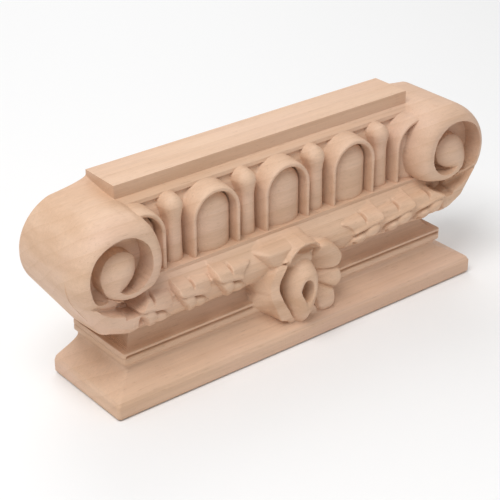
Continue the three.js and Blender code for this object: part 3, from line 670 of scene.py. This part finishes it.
    def channel(self, r, turn):
        """Reach of the spiral channel's sides and floor, and of the domed eye inside it"""
        scroll = self.scroll
        winding = np.where(turn < 290, turn + 360, turn)
        inner = table(winding, CHANNEL_INNER)
        outer = table(winding, CHANNEL_OUTER)
        floor = scroll.channel_floor + 8.8 * ease(592, 652, winding) + 4.9 * ease(324, 292, winding)
        fall = table(winding, EYE_FALL)
        edge = scroll.depth - fall
        near_eye = edge - (edge - floor) * ease(0, 1.5, r - inner)
        slope = clamp((outer - r) / table(winding, CHANNEL_SLOPE)) ** 0.8
        near_roll = scroll.depth + 0.8 - (scroll.depth + 0.8 - floor) * slope
        cut = np.where((r > inner) & (r < outer), np.minimum(near_eye, near_roll), NO_CUT)
        eye = scroll.depth + 0.1 - fall * clamp(r / inner) ** 2
        rounding = quarter_round(table(turn, ROLL_EDGE) - r, 2, 3)
        eye = eye - rounding * ease(262, 272, turn) * ease(332, 314, turn)
        return cut, np.where(r <= inner, eye, 0)

    def pocket(self, x, z, r, turn):
        """Reach of the hollow between the end of the roll and the foot"""
        floor = table(x, POCKET_FLOOR)
        over_lip = z - table(x, FOOT_LIP)
        floor = floor - 1.4 * bump(over_lip, 1, 1.4)
        outside = r - table(turn, ROLL_EDGE)
        floor = floor + 5 * ease(0.6, 0, outside) + 6 * ease(0.6, -0.2, over_lip)
        inside = (turn > 222) & (turn < 345) & (outside > 0) & (over_lip > 0) & (x > 79) & (r < 19)
        return np.where(inside, floor, NO_CUT)

    def outline_height(self, x):
        """Height of the back's upper edge beyond the top block"""
        z = np.linspace(self.scroll.height + 8, self.head.sweep_top, 400)
        half = self.outline(z)
        order = np.argsort(half)
        return np.interp(x, half[order], z[order])

    def foot_start(self, z):
        """Distance from the middle at which a scroll's foot begins"""
        return FOOT_START - FOOT_LEAN * (z - 36)

    def scroll_foot(self, x, z):
        """The lobed foot under a scroll, where the swag begins"""
        top = table(x, FOOT_LIP)
        start = self.foot_start(z)
        across = clamp((x - start) / FOOT_LENGTH)
        lobe = self.flank_face(x, z, *self.turn_about_eye(x, z)) - ease(1, 0.75, across)
        folds = np.abs(np.sin((across - 0.02) * 3 * pi)) ** 0.8 * ease(0.3, 3, top - z)
        lobe = lobe - 2.2 * ease(0.9, 0.6, across) * (1 - 1.5 * folds)
        lobe = lobe - quarter_round(top - z, 2.6, 2.6) - quarter_round(x - start, 2, 2.4)
        inside = (x > start) & (across < 1) & (z < top) & (z > self.neck_top + 6)
        return np.where(inside, lobe, 0)

    def depth(self, signed_x, z):
        """Depth of the whole carved face"""
        band = self.band
        x = np.abs(signed_x)
        depth = self.block(x, z)
        inside_arch = np.zeros(x.shape, bool)
        for number in range(3):
            centre = number * band.pitch
            depth = np.maximum(depth, np.where(x < self.top_half - 1, self.arch(x, z, centre), 0))
            out = self.from_arch_middle(x, z, centre)
            inside_arch |= out < band.arch_radius - band.arch_rim / 2
        for number in (0.5, 1.5):
            depth = np.maximum(depth, self.dart(x, z, number * band.pitch))
        sunk = inside_arch & (z > band.floor_height) & (depth <= band.ground_depth + 0.01)
        depth = np.where(sunk, band.ground_depth - 1, depth)
        depth = np.maximum(depth, self.garland(x, z))
        depth = np.where(signed_x < 0, np.maximum(depth, self.fold_beside_flower(x, z)), depth)
        depth = np.maximum(depth, self.slope_over_flower(signed_x, z))
        r, turn = self.turn_about_eye(x, z)
        face = self.scroll_face(x, z, r, turn)
        depth = np.maximum(depth, face)
        cut, eye = self.channel(r, turn)
        depth = np.where((r < 22) & (face > 0), np.minimum(depth, cut), depth)
        depth = np.minimum(depth, self.pocket(x, z, r, turn))
        depth = np.where(eye > 0, eye, depth)
        nick = bump(x, self.foot_start(z) - 1, NICK_WIDTH) * ease(29.8, 31.5, z) * ease(41, 38, z)
        depth = np.maximum(depth - NICK_DEPTH * nick, self.scroll_foot(x, z))
        flower = self.petals(signed_x, z)
        skirt = self.foot.slab_depth - self.setback(z)
        hollow = np.hypot(signed_x / 20, (z - self.flower.height) / 15.5) < 1
        inside = np.where(z < self.neck_top, np.maximum(flower, skirt), flower)
        return np.where((flower > 0) & hollow, inside, np.maximum(flower, depth))


def spaced(start, stop, step):
    """Even steps of about that size from start to stop"""
    return np.linspace(start, stop, max(2, int(round((stop - start) / step)) + 1))


def surface_grid(capital, fine):
    """Points of the carved face in level rows, closer together over the tops of the rolls"""
    head, scroll = capital.head, capital.scroll
    roll_top = scroll.height + scroll.radius - 6
    levels = [
        spaced(0, capital.foot.slab_round, fine.fine_step * 1.5),
        spaced(capital.foot.slab_round, roll_top, fine.step),
        spaced(roll_top, head.sweep_top, fine.fine_step),
        spaced(head.sweep_top, capital.height, fine.step * 2),
    ]
    steps = [
        capital.foot.bead_start, capital.bead_top, capital.neck_top, capital.swag.bottom,
        capital.band.floor_height, capital.mould_bottom, capital.face_bottom, head.sweep_top,
    ]
    pairs = [height + offset for height in steps for offset in (-EDGE_GAP, EDGE_GAP)]
    z = np.unique(np.round(np.concatenate([*levels, pairs]), 4))
    outline = capital.outline(z)
    half = np.maximum(outline, capital.top_half)
    inner = spaced(-capital.top_half, capital.top_half, fine.step)
    widest = half.max() - capital.top_half
    share = np.linspace(0, 1, int(widest / fine.step * 1.5))
    share = 1 - (1 - share) ** CROWDING
    right = capital.top_half + np.outer(half - capital.top_half, share[1:])
    x = np.hstack([-right[:, ::-1], np.tile(inner, (len(z), 1)), right])
    x = np.clip(x, -outline[:, None], outline[:, None])
    return x, np.tile(z[:, None], (1, x.shape[1]))


def closed_mesh(name, x, z, depth, back):
    """A closed mesh from the carved face, a flat back and the edges that join them, in metres"""
    rows, columns = x.shape
    count = rows * columns
    front = np.stack([x, back - depth, z], -1).reshape(-1, 3)
    rear = np.stack([x, np.full_like(x, back), z], -1).reshape(-1, 3)
    index = np.arange(count).reshape(rows, columns)
    kept = np.unique(np.append(np.arange(0, columns, BACK_STEP), columns - 1))
    behind = index[:, kept] + count
    left, right = index[:, 0], index[:, -1]
    faces = [
        (index[:-1, :-1], index[:-1, 1:], index[1:, 1:], index[1:, :-1]),
        (behind[:-1, :-1], behind[1:, :-1], behind[1:, 1:], behind[:-1, 1:]),
        (left[:-1], left[1:], left[1:] + count, left[:-1] + count),
        (right[:-1], right[:-1] + count, right[1:] + count, right[1:]),
    ]
    faces = np.concatenate([np.stack(corners, -1).reshape(-1, 4) for corners in faces]).tolist()
    for row, turned in ((0, True), (rows - 1, False)):
        for start, stop in zip(kept[:-1], kept[1:]):
            edge = index[row, start:stop + 1]
            loop = [*edge.tolist(), int(edge[-1]) + count, int(edge[0]) + count]
            faces.append(loop[::-1] if turned else loop)
    mesh = bpy.data.meshes.new(name)
    mesh.from_pydata((np.concatenate([front, rear]) * MM).tolist(), [], faces)
    return mesh


def apply_modifiers(piece):
    """Works a piece's modifiers into its mesh"""
    depsgraph = bpy.context.evaluated_depsgraph_get()
    mesh = bpy.data.meshes.new_from_object(piece.evaluated_get(depsgraph))
    piece.modifiers.clear()
    piece.data = mesh
    return mesh


def thin_and_shade(piece, triangles):
    """Welds and thins a mesh to about that many triangles, and shades it by the size of its faces"""
    piece.modifiers.new("weld", "WELD").merge_threshold = WELD_GAP * MM
    mesh = apply_modifiers(piece)
    mesh.calc_loop_triangles()
    thin = piece.modifiers.new("thin", "DECIMATE")
    thin.ratio = min(1, triangles / len(mesh.loop_triangles))
    thin.use_collapse_triangulate = True
    mesh = apply_modifiers(piece)
    mesh.polygons.foreach_set("use_smooth", np.ones(len(mesh.polygons), bool))
    mesh.set_sharp_from_angle(angle=radians(SHARP_ANGLE))
    piece.modifiers.new("shading", "WEIGHTED_NORMAL").keep_sharp = True


class Nodes:
    """A short way to add and join a material's nodes"""

    def __init__(self, material):
        material.use_nodes = True
        self.tree = material.node_tree
        self.shader = self.tree.nodes["Principled BSDF"]

    def add(self, kind, inputs=(), **settings):
        node = self.tree.nodes.new(kind)
        for key, value in settings.items():
            setattr(node, key, value)
        for name, value in dict(inputs).items():
            self.feed(node.inputs[name], value)
        return node

    def feed(self, socket, value):
        if isinstance(value, bpy.types.NodeSocket):
            self.tree.links.new(value, socket)
        elif isinstance(value, bpy.types.Node):
            self.tree.links.new(value.outputs[0], socket)
        else:
            socket.default_value = value

    def math(self, operation, *values):
        return self.add("ShaderNodeMath", dict(enumerate(values)), operation=operation).outputs[0]

    def spread(self, value, low, high, to_low=0.0, to_high=1.0):
        inputs = {
            "Value": value, "From Min": low, "From Max": high, "To Min": to_low, "To Max": to_high,
        }
        return self.add("ShaderNodeMapRange", inputs, clamp=True).outputs[0]

    def mix(self, share, first, second, blend="MIX"):
        node = self.tree.nodes.new("ShaderNodeMix")
        node.data_type = "RGBA"
        node.blend_type = blend
        for place, value in ((0, share), (6, first), (7, second)):
            self.feed(node.inputs[place], value)
        return node.outputs[2]

    def shaded(self, colour, share):
        """A colour made lighter or darker by a share near 1"""
        grey = self.add("ShaderNodeCombineColor", {0: share, 1: share, 2: share})
        return self.mix(1.0, colour, grey, "MULTIPLY")

    def stretched(self, coordinates, scale, lean=0, dip=0):
        """Coordinates scaled and leant by two angles in degrees"""
        turn = (radians(lean), radians(dip), 0)
        inputs = {"Vector": coordinates, "Scale": scale, "Rotation": turn}
        return self.add("ShaderNodeMapping", inputs).outputs[0]

    def noise(self, coordinates, detail=2.0, roughness=0.5, distortion=0.0):
        inputs = {
            "Vector": coordinates, "Scale": 1.0, "Detail": detail, "Roughness": roughness,
            "Distortion": distortion,
        }
        return self.add("ShaderNodeTexNoise", inputs).outputs[0]


def bare_wood(finish):
    """Pale bare hardwood whose growth layers lie almost level, with the grain along the capital"""
    material = bpy.data.materials.new("pale_bare_wood")
    nodes = Nodes(material)
    place = nodes.add("ShaderNodeTexCoord").outputs["Object"]
    pale, tan, pink, pore = (
        (*colour, 1) for colour in (finish.pale, finish.tan, finish.pink, finish.pore)
    )

    layers = nodes.noise(
        nodes.stretched(place, (5, 30, 110), 14, -3), detail=2.5, roughness=0.55, distortion=0.25
    )
    late = nodes.spread(layers, 0.42, 0.64)
    rings = nodes.add("ShaderNodeTexWave", {
        "Vector": nodes.stretched(place, (0.1, 1, 1), 38, -3), "Scale": 52.0,
        "Distortion": 7.0, "Detail": 2.0, "Detail Scale": 0.4,
    }, bands_direction="Z", wave_profile="SAW").outputs["Fac"]
    ring_line = nodes.math("POWER", rings, 4.0)
    fibre = nodes.noise(nodes.stretched(place, (26, 900, 1100), 8, -2), detail=3, roughness=0.6)
    fine = nodes.noise(nodes.stretched(place, (90, 3200, 3200)), roughness=0.6)
    patch = nodes.noise(nodes.stretched(place, (9, 22, 34)))
    specks = nodes.noise(nodes.stretched(place, (210, 2600, 2600)), detail=1, roughness=0.4)
    pores = nodes.spread(specks, 0.66, 0.76)

    colour = nodes.mix(nodes.math("MULTIPLY", late, 0.6), pale, tan)
    colour = nodes.mix(nodes.spread(patch, 0.45, 0.7, 0, 0.6), colour, pink)
    colour = nodes.mix(nodes.math("MULTIPLY", ring_line, 0.3), colour, tan)
    colour = nodes.shaded(colour, nodes.spread(fibre, 0.3, 0.7, 0.955, 1.035))
    colour = nodes.shaded(colour, nodes.spread(fine, 0.3, 0.7, 0.97, 1.03))
    colour = nodes.mix(nodes.math("MULTIPLY", pores, 0.34), colour, pore)
    nodes.feed(nodes.shader.inputs["Base Color"], colour)

    roughness = nodes.math("MULTIPLY_ADD", fine, 0.16, finish.roughness - 0.08)
    nodes.feed(nodes.shader.inputs["Roughness"], roughness)
    nodes.shader.inputs["Specular IOR Level"].default_value = 0.5

    tool = nodes.noise(nodes.stretched(place, (820, 40, 60)), detail=1, roughness=0.4)
    relief = nodes.math("MULTIPLY_ADD", tool, 0.9, nodes.math("MULTIPLY_ADD", fibre, 0.3, fine))
    relief = nodes.math("SUBTRACT", relief, nodes.math("MULTIPLY", pores, 0.5))
    grain = nodes.add("ShaderNodeBump", {"Height": relief, "Strength": 0.45, "Distance": 0.0002})
    nodes.feed(nodes.shader.inputs["Normal"], grain)
    return material


class CAPITAL_OT_carve(bpy.types.Operator):
    """Carve the capital and finish it in bare wood"""

    bl_idname = "capital.carve"
    bl_label = "Carve Capital"

    def execute(self, context):
        scene = context.scene
        capital = Capital(scene)
        fineness = scene.capital_mesh
        fine = SimpleNamespace(step=fineness.step / MM, fine_step=fineness.fine_step / MM)
        x, z = surface_grid(capital, fine)
        depth = np.minimum(capital.depth(x, z), (BLOCK_HIGH.y - BLOCK_LOW.y) / MM)
        mesh = closed_mesh("carved_capital", x, z, depth, BLOCK_HIGH.y / MM)
        piece = bpy.data.objects.new("carved_capital", mesh)
        context.collection.objects.link(piece)
        thin_and_shade(piece, fineness.triangles)
        piece.data.materials.append(bare_wood(scene.capital_wood))
        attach(piece, "root")
        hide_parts("capital")
        return {"FINISHED"}


class CAPITAL_OT_stage(bpy.types.Operator):
    """Set a pale floor, soft lights and the camera"""

    bl_idname = "capital.stage"
    bl_label = "Set Stage"

    def execute(self, context):
        scene = context.scene
        stage = scene.capital_stage
        floor_mesh = bpy.data.meshes.new("floor")
        sides = ((-1, -1), (1, -1), (1, 1), (-1, 1))
        corners = [(x * FLOOR_REACH, y * FLOOR_REACH, 0) for x, y in sides]
        floor_mesh.from_pydata(corners, [], [(0, 1, 2, 3)])
        floor = bpy.data.objects.new("floor", floor_mesh)
        floor.location.z = BLOCK_LOW.z - FLOOR_GAP
        paint = bpy.data.materials.new("pale_floor")
        shader = Nodes(paint).shader
        shader.inputs["Base Color"].default_value = (*stage.floor, 1)
        shader.inputs["Roughness"].default_value = 0.9
        floor_mesh.materials.append(paint)
        context.collection.objects.link(floor)

        world = bpy.data.worlds.new("soft_room")
        world.use_nodes = True
        background = world.node_tree.nodes["Background"]
        background.inputs["Color"].default_value = (1, 1, 1, 1)
        background.inputs["Strength"].default_value = stage.room
        scene.world = world

        aim = Vector(LIGHT_AIM)
        for name, place, size, share in LIGHTS:
            light = bpy.data.lights.new(name, "AREA")
            light.energy = stage.key * share
            light.size = size
            lamp = bpy.data.objects.new(name, light)
            lamp.location = place
            lamp.rotation_euler = (aim - lamp.location).to_track_quat("-Z", "Y").to_euler()
            context.collection.objects.link(lamp)

        lens = bpy.data.cameras.new("camera")
        lens.sensor_width = 36
        lens.lens = stage.focal
        camera = bpy.data.objects.new("camera", lens)
        x, y, z = CAMERA_PLACE
        camera.location = Vector((x, y + BLOCK_HIGH.y / MM, z)) * MM
        camera.rotation_euler = (pi / 2 - stage.tilt, 0, stage.turn)
        context.collection.objects.link(camera)
        scene.camera = camera
        scene.view_settings.view_transform = "Standard"
        return {"FINISHED"}


class CAPITAL_PT_sidebar(bpy.types.Panel):
    """Sizes, finish and buttons of the carved capital"""

    bl_idname = "CAPITAL_PT_sidebar"
    bl_label = "Carved Capital"
    bl_space_type = "VIEW_3D"
    bl_region_type = "UI"
    bl_category = "Capital"

    def draw(self, context):
        for group_name, group in GROUPS.items():
            box = self.layout.box()
            box.label(text=group_name.replace("capital_", "").title())
            for setting in group.__annotations__:
                box.prop(getattr(context.scene, group_name), setting)
        for operator in OPERATORS:
            self.layout.operator(operator.bl_idname)


OPERATORS = (CAPITAL_OT_carve, CAPITAL_OT_stage)
CLASSES = (*GROUPS.values(), *OPERATORS, CAPITAL_PT_sidebar)


def register():
    for item in CLASSES:
        bpy.utils.register_class(item)
    for name, group in GROUPS.items():
        setattr(bpy.types.Scene, name, PointerProperty(type=group))


def unregister():
    for name in GROUPS:
        delattr(bpy.types.Scene, name)
    for item in reversed(CLASSES):
        bpy.utils.unregister_class(item)


def main():
    """Clears the cameras and lights of an empty file and builds everything"""
    for old in [o for o in bpy.data.objects if o.type in ("CAMERA", "LIGHT")]:
        bpy.data.objects.remove(old)
    register()
    bpy.ops.capital.carve()
    bpy.ops.capital.stage()


if __name__ == "__main__":
    main()
